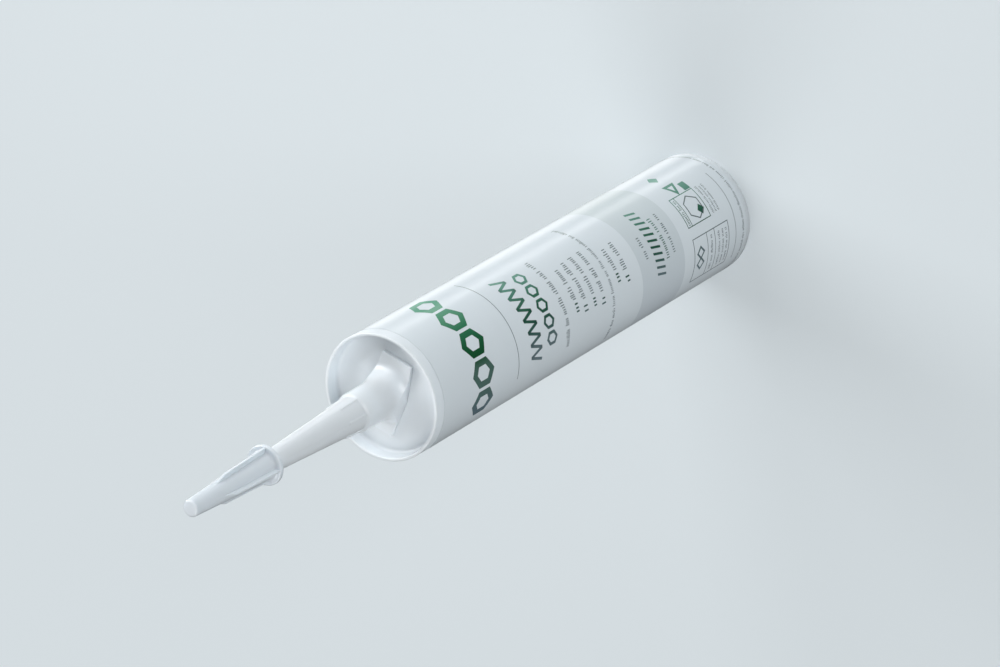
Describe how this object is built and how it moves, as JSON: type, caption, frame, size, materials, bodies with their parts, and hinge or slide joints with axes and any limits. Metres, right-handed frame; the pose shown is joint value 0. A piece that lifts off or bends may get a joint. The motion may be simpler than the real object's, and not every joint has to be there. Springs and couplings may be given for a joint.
{
  "type": "caulk tube",
  "caption": "Sealant cartridge: round moulded tube with a wrapped label, sunk head, winged tapered nozzle, finned push-on cap and a cup piston in its open rear.",
  "frame": {"origin": "centre of the rear rim's plane, which the tube stands on", "axes": "+Z along the tube from the open rear rim to the nozzle's tip; -Y towards the printed front of the label; +X to the right of that front"},
  "size_m": [0.0492, 0.0492, 0.327],
  "materials": {
    "barrel_plastic": "moulded high-density polyethylene, satin white",
    "label_film": "printed polypropylene film, satin white with green and slate print",
    "sealant_paste": "soft paste, off white",
    "piston_plastic": "moulded low-density polyethylene, matt white",
    "nozzle_plastic": "moulded polyethylene, satin natural white",
    "cap_plastic": "moulded polyethylene, satin natural white"
  },
  "bodies": {
    "barrel": {"barrel": "barrel_plastic", "label": "label_film", "sealant": "sealant_paste"},
    "piston": {"piston": "piston_plastic"},
    "nozzle": {"nozzle": "nozzle_plastic"},
    "nozzle_cap": {"nozzle_cap": "cap_plastic"}
  },
  "joints": [
    {"name": "piston_travel", "type": "slide", "parent": "barrel", "child": "piston", "axis": [0, 0, 1], "range_m": [0, 0.182], "deforming": ["sealant"]},
    {"name": "nozzle_lift", "type": "slide", "parent": "barrel", "child": "nozzle", "axis": [0, 0, 1], "range_m": [0, 0.03]},
    {"name": "cap_pull", "type": "slide", "parent": "nozzle", "child": "nozzle_cap", "axis": [0, 0, 1], "range_m": [0, 0.05]}
  ]
}
